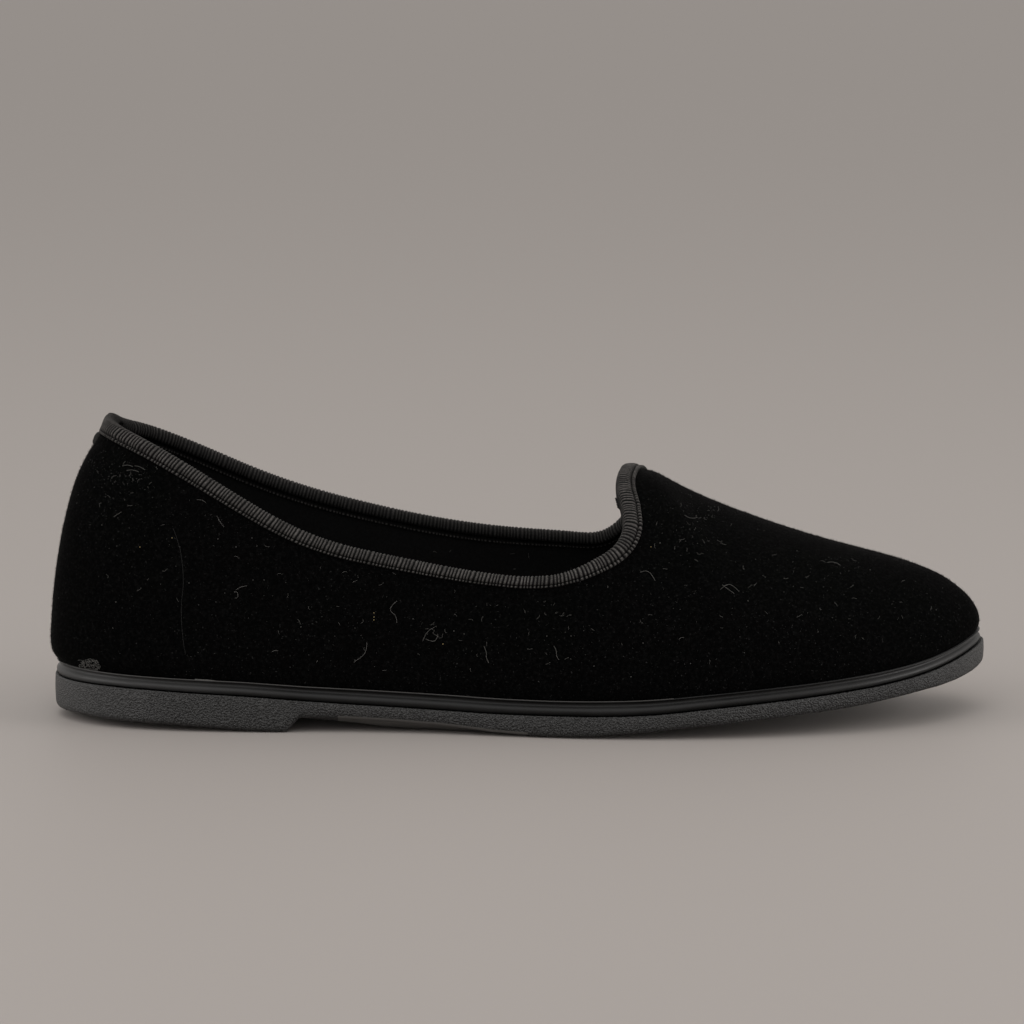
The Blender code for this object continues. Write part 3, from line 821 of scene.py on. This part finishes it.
# how the photographed sole's lines lie above those of the CAD, in mm, along the shoe
soleLines = {
    "lip": (
        (-0.030, 0.45), (0.019, 0.45), (0.036, 0.10), (0.055, 0.20), (0.077, 0.35), (0.101, 0.20), (0.114, 0.40),
        (0.130, 0.60), (0.169, 0.60), (0.195, 0.80), (0.206, 0.70), (0.217, 0.60),
    ),
    "groove": (
        (-0.031, 0.60), (-0.017, 1.00), (-0.007, 1.05), (0.003, 0.90), (0.019, 0.70), (0.030, 0.45), (0.045, 0.30),
        (0.080, 0.35), (0.101, 0.35), (0.114, 0.40), (0.130, 0.55), (0.169, 0.60), (0.195, 0.75), (0.217, 0.60),
    ),
    "floor": (
        (-0.031, 2.10), (-0.026, 2.55), (-0.020, 2.30), (-0.010, 2.00), (0.001, 1.65), (0.010, 1.15), (0.019, 0.55),
        (0.028, 0.20), (0.034, 0.30), (0.042, 0.55), (0.050, 0.72), (0.082, 0.82), (0.092, 0.55), (0.100, 0.35),
        (0.108, 0.45), (0.114, 0.80), (0.121, 1.25), (0.128, 1.60), (0.136, 1.85), (0.151, 1.55), (0.165, 1.55),
        (0.178, 1.45), (0.191, 1.60), (0.198, 1.50), (0.202, 1.20), (0.207, 0.60), (0.211, 0.10), (0.215, -0.30),
    ),
    "edgeAlone": 0.40,         # of the floor's lift, the part that only the edge has
    "breast": ((0.018, 0.0), (0.026, 2.1), (0.040, 2.1), (0.055, 0.0)),
}


def lifted(point, line):
    return Vector((point.x, point.y, point.z + tableAt(soleLines[line], point.x) * 0.001))


bandShape = {
    "perStation": 12,
    "side": (
        # height share from groove to lip, outset in mm from the line between the two
        (1.00, -0.90), (1.00, 0.00), (0.985, 0.10), (0.955, 0.13), (0.925, 0.02), (0.895, -0.28),
        (0.83, -0.58), (0.74, -0.75), (0.64, -0.70), (0.56, -0.42), (0.49, -0.06), (0.40, 0.20),
        (0.30, 0.34), (0.21, 0.36), (0.14, 0.30), (0.08, 0.18), (0.03, 0.08), (0.00, 0.00), (0.00, -0.90),
    ),
    "tuck": 0.0009,            # of the hidden top and bottom, inwards of lip and groove
    "inwards": (1.0, 0.6, 0.25),
    # painted highlight: the pale line along the lip stands in for the lip's bright edge
    "dustAndHighlightRadius": 0.00010,     # thin pale line where the velvet meets the lip
    "lipHighlightOut": 0.00008,
    "lipHighlightReach": 0.62,         # of the way to the toe
    "lipHighlightSteps": (8, 150),
}


def makeBand(settings):
    lip = capRing("midsole", 1)
    grooveAt, lipAt, count = indexCurve(columnFeet("midsole", lip)), indexCurve(lip), len(lip)
    tuck, inwards = settings["tuck"], settings["inwards"]

    def section(p):
        groove, lip, out = lifted(grooveAt(p), "groove"), lifted(lipAt(p), "lip"), outOf(lipAt, p)
        side = [groove.lerp(lip, share) + out * (outset * 0.001) for share, outset in settings["side"]]
        top = towardsMiddle(lambda q: lipAt(q) - outOf(lipAt, q) * tuck, count, p, inwards)
        low = towardsMiddle(lambda q: grooveAt(q) - outOf(lipAt, q) * tuck, count, p, inwards[::-1])
        return top + side + low

    sweepRing("midsoleBand", count, settings["perStation"], section, satinBand, "midsole")
    # painted highlight along the lip, from near the heel round the outer side
    first, last = settings["lipHighlightSteps"]
    ends = [count * settings["lipHighlightReach"] / 2 * i / last for i in range(first, last + 1)]
    line = [lifted(lipAt(p), "lip") + outOf(lipAt, p) * settings["lipHighlightOut"] for p in ends]
    dustAndHighlight = bmesh.new()
    tube = threadMesh("lipHighlightLine", [line], settings["dustAndHighlightRadius"])
    dustAndHighlight.from_mesh(tube)
    bpy.data.meshes.remove(tube)
    addPiece("lipHighlightLine", dustAndHighlight, [lipHighlight])


outsoleShape = {
    "perStation": 12,
    "edgeRound": 0.0016,
    "topRound": 0.00032,
    "bulge": 0.00012,
    "topTuck": 0.0012,
    "inwards": (1.0, 0.6, 0.25, 0.0),
    "underSteps": (0.0011, 0.003, 0.0052, 0.0075, 0.010),  # from the edge, where the underside is read
    "underMost": 0.9,          # of the way to the middle, for these
    "underShares": (0.93, 0.96, 1.0),
    "edgeWidth": 0.003,        # over which the edge's own lift fades
    "readFrom": -0.05,
    "waistNarrow": 2.2,        # the photographed waist's bevel is steeper than the CAD's
    "waist": (0.045, 0.095),   # x of the smooth bevelled part
    "waistFacing": -0.3,
}


def makeOutsole(settings):
    ring = capRing("outsole", 1)
    topAt, count = indexCurve(ring), len(ring)
    bm = mergedNode("outsole")
    under = BVHTree.FromBMesh(bm)
    bm.free()
    turnSize, top, tuck = settings["edgeRound"], settings["topRound"], settings["topTuck"]

    def belly(point, inside):
        back = tableAt(soleLines["breast"], point.x) * 0.001
        hit = under.ray_cast(Vector((point.x - back, point.y, settings["readFrom"])), Vector((0, 0, 1)))
        rise = tableAt(soleLines["floor"], point.x)
        if rise > 0:
            rise = max(rise - soleLines["edgeAlone"] * inside, 0)
        return (hit[0].z if hit[0] else point.z) + rise * 0.001

    def section(p):
        high, out = lifted(topAt(p), "groove"), outOf(topAt, p)
        edge = high + out * top
        low = belly(edge - out * (turnSize * 1.05), 0.0)
        inner = towardsMiddle(lambda q: topAt(q) - outOf(topAt, q) * tuck, count, p, settings["inwards"])
        points = inner + [high - out * top * 0.3]
        for angle in (0, 30, 60, 90):
            turn = math.radians(angle)
            points.append(edge - out * top * (1 - math.sin(turn)) - Vector((0, 0, top * (1 - math.cos(turn)))))
        foot = Vector((edge.x, edge.y, low + turnSize))
        start = points[-1]
        for share in (0.2, 0.4, 0.6, 0.8):
            points.append(start.lerp(foot, share) + out * settings["bulge"] * math.sin(math.pi * share))
        for angle in (0, 25, 50, 72, 90):
            turn = math.radians(angle)
            points.append(foot - out * turnSize * (1 - math.cos(turn)) - Vector((0, 0, turnSize * math.sin(turn))))
        last = points[-1]
        middle = (topAt(p) + topAt(count - p)) / 2
        half = max((last - middle).length, 1e-5)
        for step in settings["underSteps"]:
            point = last.lerp(middle, min(step / half, settings["underMost"]))
            deeper = last.lerp(middle, min(settings["waistNarrow"] * step / half, settings["underMost"]))
            point.z = belly(deeper, spread(0.0, settings["edgeWidth"], step))
            points.append(point)
        for share in settings["underShares"]:
            point = last.lerp(middle, share)
            point.z = belly(point, 1.0)
            points.append(point)
        return points

    body = sweepRing("outsoleBody", count, settings["perStation"], section, pebbles, "outsole")
    body.data.materials.append(waistRubberPaintedReflection)
    start, end = settings["waist"]
    # painted reflection: downward-facing faces of the waist's bevel take the lighter waist rubber, standing in for
    # the bright floor they reflect
    for face in body.data.polygons:
        if face.normal.z < settings["waistFacing"] and start < face.center.x < end:
            face.material_index = 1
    return body


insoleShape = {
    "perStation": 8,
    "round": 0.0009,
    "outset": 0.8,             # of the round, by which the edge stands out of the ring
    "sideFoot": 0.0006,
    "inwards": (1.0, 0.6, 0.25, 0.0),
    "dish": 0.0006,
    "dishReach": 0.6,          # of the way to the middle
    "dishShares": (0.1, 0.25, 0.45, 0.7, 1.0),
}


def makeInsole(settings):
    lowest, highest = capRing("insole", -1), capRing("insole", 1)
    lowAt, topAt, count = indexCurve(lowest), indexCurve(highest), len(highest)
    print("insole: rings of", len(lowest), "and", count, "points")
    turnSize = settings["round"]

    def section(p):
        low, high, out = lowAt(p), topAt(p), outOf(topAt, p)
        points = towardsMiddle(lowAt, count, p, settings["inwards"])
        edge = high + out * turnSize * settings["outset"]
        points.append(Vector((edge.x, edge.y, low.z + settings["sideFoot"])))
        for angle in (0, 30, 60, 90):
            turn = math.radians(angle)
            drop = turnSize * (1 - math.sin(turn))
            points.append(edge - out * turnSize * (1 - math.cos(turn)) - Vector((0, 0, drop)))
        for share in settings["dishShares"]:
            point = high.lerp((high + topAt(count - p)) / 2, share)
            point.z -= settings["dish"] * softStep(0, settings["dishReach"], share)
            points.append(point)
        return points

    return sweepRing("insoleSock", count, settings["perStation"], section, lining, "insole")


makeBand(bandShape)
makeOutsole(outsoleShape)
makeInsole(insoleShape)

# what lies on the velvet, placed by the photograph's pixels
def skinTree(pieces):
    verts, faces = [], []
    for piece in pieces:
        start = len(verts)
        verts += [v.co.copy() for v in piece.data.vertices]
        faces += [tuple(start + i for i in p.vertices) for p in piece.data.polygons]
    return BVHTree.FromPolygons(verts, faces)


def onSkin(tree, px, py, lift):
    eye, ray = photoRay(photoView, px, py)
    seat, normal, _, _ = tree.ray_cast(eye, ray)
    if seat is None:
        return None
    if normal.dot(ray) > 0:
        normal = -normal
    return seat + normal * lift


lintShape = {
    "seed": 11,
    "radius": 0.000032,
    "strayHairs": (
        # centre, spread, count, in pixels
        ((300, 600), (260, 60), 46), ((560, 625), (150, 45), 26), ((700, 530), (45, 30), 24),
        ((820, 590), (90, 40), 26), ((130, 480), (30, 30), 16), ((435, 632), (14, 8), 9),
    ),
    "sigmas": 1.6,             # standard deviations in a field's spread
    "strayThin": 0.7,
    "speckRadius": 0.00011,
    "goldRadius": 0.00012,
    "dustAndHighlightRadius": (0.00003, 0.00006),  # smallest, and what the largest has more
    "smear": ((90, 666), (10.8, 7.2), 330),
    "smearRadius": (0.00007, 0.00016),
    "stripRadius": 0.00022,
    "stripLift": 0.0002,
    "seamRadius": 0.000045,
    "seamLift": 0.00002,
    "strip": ((195, 679), (201, 679.4), (208, 679.8), (215, 680.6)),
    "seam": (
        (173, 528), (178, 541), (181, 553), (183, 570), (183.5, 584), (182, 597), (181, 610), (182, 630), (184, 648),
        (188, 664), (191, 676),
    ),
    "lift": 0.00022,
    "hairs": (
        ((397, 601), (391, 606), (390, 611), (397, 616), (397, 623)),
        ((423, 641), (425, 635), (430, 629), (437, 626)),
        ((426, 639), (432, 642), (437, 640), (438, 634)),
        ((354, 662), (362, 657), (367, 650), (367, 642)),
        ((484, 646), (487, 652), (486, 658), (489, 663)),
        ((554, 646), (557, 651), (556, 656), (559, 660)),
        ((640, 572.6), (644, 571), (648, 571.5), (652, 575), (655, 581)),
        ((217, 516), (219, 521), (224, 527)),
        ((234, 592), (238, 591), (238, 599), (235, 598)),
        ((236, 590), (241, 586), (247, 586)),
        ((114, 517), (118, 514), (122, 512)),
        ((197, 500), (202, 499), (206, 503)),
        ((272, 652), (275, 649), (278, 651)),
        ((679, 640), (681, 636), (684, 638)),
        ((720, 590), (726, 584), (733, 586), (739, 592)),
        ((722, 585), (728, 590), (734, 594)),
        ((123, 466), (129, 464), (133, 467)),
        ((127, 471), (133, 469), (139, 472)),
        ((135, 466), (140, 466), (145, 470)),
        ((684, 516), (690, 520), (697, 518)),
        ((827, 563), (834, 561), (840, 566)),
    ),
    "specks": (
        (102, 525), (218, 539), (236, 547), (252, 538), (257, 546), (253, 580), (264, 580), (189, 583), (116, 602),
        (113, 628), (301, 627), (355, 628), (355, 660), (413, 619), (454, 631), (464, 634), (556, 613), (547, 636),
        (571, 636), (571, 659), (594, 666), (660, 543), (643, 643), (696, 516), (797, 551), (870, 570), (748, 601),
        (818, 632), (936, 610), (631, 677),
    ),
    "goldSpecks": ((172, 538), (140, 547), (651, 547), (374, 613), (374, 617), (374, 620), (443, 644)),
    # pale dust specks; the dense fields at the heel top and the vamp top are also painted sheen, where the velvet's
    # nap catches grazing light
    "dustAndSheenFields": (
        # centre, spread, count, in pixels
        ((420, 620), (330, 50), 260), ((134, 470), (20, 14), 60), ((696, 528), (22, 22), 70),
        ((836, 565), (40, 14), 60), ((150, 520), (60, 40), 90), ((860, 610), (90, 40), 120),
        ((730, 590), (60, 40), 70), ((108, 478), (26, 32), 150), ((705, 505), (60, 24), 150),
        ((560, 650), (120, 24), 70),
    ),
}


def makeLint(settings, tree):
    dice = random.Random(settings["seed"])
    sigmas = settings["sigmas"]
    lines = []
    for hair in settings["hairs"]:
        seats = [onSkin(tree, px, py, settings["lift"] * dice.uniform(0.4, 1.6)) for px, py in hair]
        lines.append([seat for seat in seats if seat])
    stray = []
    for (midX, midY), (wide, tall), count in settings["strayHairs"]:
        for _ in range(count):
            px, py = dice.gauss(midX, wide / sigmas), dice.gauss(midY, tall / sigmas)
            heading, reach = dice.uniform(0, 2 * math.pi), dice.uniform(0.7, 2.0)
            bend = dice.uniform(-0.7, 0.7)
            hair = []
            for _ in range(4):
                hair.append(onSkin(tree, px, py, settings["lift"] * dice.uniform(0.3, 1.2)))
                px += reach * math.cos(heading)
                py += reach * math.sin(heading)
                heading += bend
            stray.append([seat for seat in hair if seat])
    strip = [onSkin(tree, px, py, settings["stripLift"]) for px, py in settings["strip"]]
    seam = [onSkin(tree, px, py, settings["seamLift"]) for px, py in settings["seam"]]
    bm = bmesh.new()
    for group, radius, index in (
            (lines, settings["radius"], 0), (stray, settings["radius"] * settings["strayThin"], 0),
            ([[seat for seat in strip if seat]], settings["stripRadius"], 3),
            ([[seat for seat in seam if seat]], settings["seamRadius"], 4)):
        threads = threadMesh("lintThreads", [line for line in group if len(line) > 2], radius)
        before = len(bm.faces)
        bm.from_mesh(threads)
        bpy.data.meshes.remove(threads)
        bm.faces.ensure_lookup_table()
        for face in bm.faces[before:]:
            face.material_index = index
    spots = [(spot, settings["speckRadius"], 0) for spot in settings["specks"]]
    spots += [(spot, settings["goldRadius"], 1) for spot in settings["goldSpecks"]]
    least, more = settings["dustAndHighlightRadius"]
    for (midX, midY), (wide, tall), count in settings["dustAndSheenFields"]:
        for _ in range(count):
            spot = (dice.gauss(midX, wide / sigmas), dice.gauss(midY, tall / sigmas))
            spots.append((spot, least + more * dice.random() ** 2, 2))
    (midX, midY), (wide, tall), count = settings["smear"]
    for _ in range(count):
        turn, away = dice.uniform(0, 2 * math.pi), math.sqrt(dice.random())
        spot = (midX + wide * away * math.cos(turn), midY + tall * away * math.sin(turn))
        spots.append((spot, dice.uniform(*settings["smearRadius"]), 3))
    for (px, py), radius, index in spots:
        seat = onSkin(tree, px, py, radius * 0.6)
        if not seat:
            continue
        made = bmesh.ops.create_icosphere(bm, subdivisions=1, radius=radius, matrix=Matrix.Translation(seat))
        for vert in made["verts"]:
            for face in vert.link_faces:
                face.material_index = index
    piece = addPiece("velvetLint", bm, [lintMaterial, goldFleck, paleDustAndSheen, glueFilm, seamThread])
    print("lint:", len(piece.data.polygons), "faces")
    return piece


velvetTree = skinTree([velvetUpper])
makeLint(lintShape, velvetTree)

# short pile that stands from the velvet, seen along its outline
pileShape = {
    "seed": 5,
    "count": 42000,
    "radius": 0.000042,
    "length": (0.00032, 0.00060),
    "lean": 0.45,
}


def makePile(settings, upper):
    bm = bmesh.new()
    bmesh.ops.create_cone(bm, cap_ends=False, segments=3, radius1=settings["radius"], radius2=0.0, depth=1.0,
                          matrix=Matrix.Translation((0, 0, 0.5)))
    bmesh.ops.remove_doubles(bm, verts=bm.verts, dist=1e-7)
    piece = addPiece("velvetPile", bm, [pileHair])
    blade = np.array([tuple(v.co) for v in piece.data.vertices])
    rows = piece.modifiers.new("rows", "ARRAY")
    rows.count = settings["count"]
    rows.use_relative_offset = False
    rows.use_constant_offset = True
    rows.constant_offset_displace = (0.001, 0, 0)
    mesh = evaluatedMesh(piece)
    piece.modifiers.clear()
    single = piece.data
    piece.data = mesh
    bpy.data.meshes.remove(single)
    mesh.name = "velvetPile"
    dice = np.random.default_rng(settings["seed"])
    faces = [p for p in upper.data.polygons if p.material_index == 0]
    areas = np.array([p.area for p in faces])
    picks = dice.choice(len(faces), size=settings["count"], p=areas / areas.sum())
    corners = np.array([[tuple(upper.data.vertices[i].co) for i in faces[k].vertices[:4]] for k in picks])
    normals = np.array([tuple(faces[k].normal) for k in picks])
    u, v = dice.random((2, settings["count"], 1))
    near = corners[:, 0] * (1 - u) + corners[:, 1] * u
    far = corners[:, 3] * (1 - u) + corners[:, 2] * u
    seats = near * (1 - v) + far * v
    tilt = dice.normal(size=(settings["count"], 3)) * settings["lean"]
    up = normals + tilt - normals * (tilt * normals).sum(1, keepdims=True)
    up /= np.linalg.norm(up, axis=1, keepdims=True)
    side = np.cross(up, dice.normal(size=(settings["count"], 3)))
    side /= np.linalg.norm(side, axis=1, keepdims=True)
    other = np.cross(up, side)
    length = dice.uniform(*settings["length"], size=(settings["count"], 1))
    placed = (seats[:, None] + side[:, None] * blade[None, :, :1] + other[:, None] * blade[None, :, 1:2]
              + (up * length)[:, None] * blade[None, :, 2:])
    mesh.vertices.foreach_set("co", placed.reshape(-1))
    mesh.update()
    print("pile:", len(mesh.polygons), "faces")
    return piece


makePile(pileShape, velvetUpper)

# turned-in end of the binding, a small tab at the back
tabShape = {
    "centre": (-0.0211, 0.0, 0.0749),
    "size": (0.0026, 0.0062, 0.0034),
    "turn": 20.0,
    "round": 0.0011,
}


def makeTab(settings):
    bm = bmesh.new()
    place = Matrix.Translation(settings["centre"]) @ Matrix.Rotation(math.radians(settings["turn"]), 4, "Y")
    bmesh.ops.create_cube(bm, size=1.0, matrix=place @ Matrix.Diagonal((*settings["size"], 1.0)))
    bmesh.ops.bevel(bm, geom=bm.edges[:], offset=settings["round"], affect="EDGES", segments=4, profile=0.5,
                    material=-1)
    return addPiece("bindingTab", bm, [tabCloth])


makeTab(tabShape)
print("tab: made")
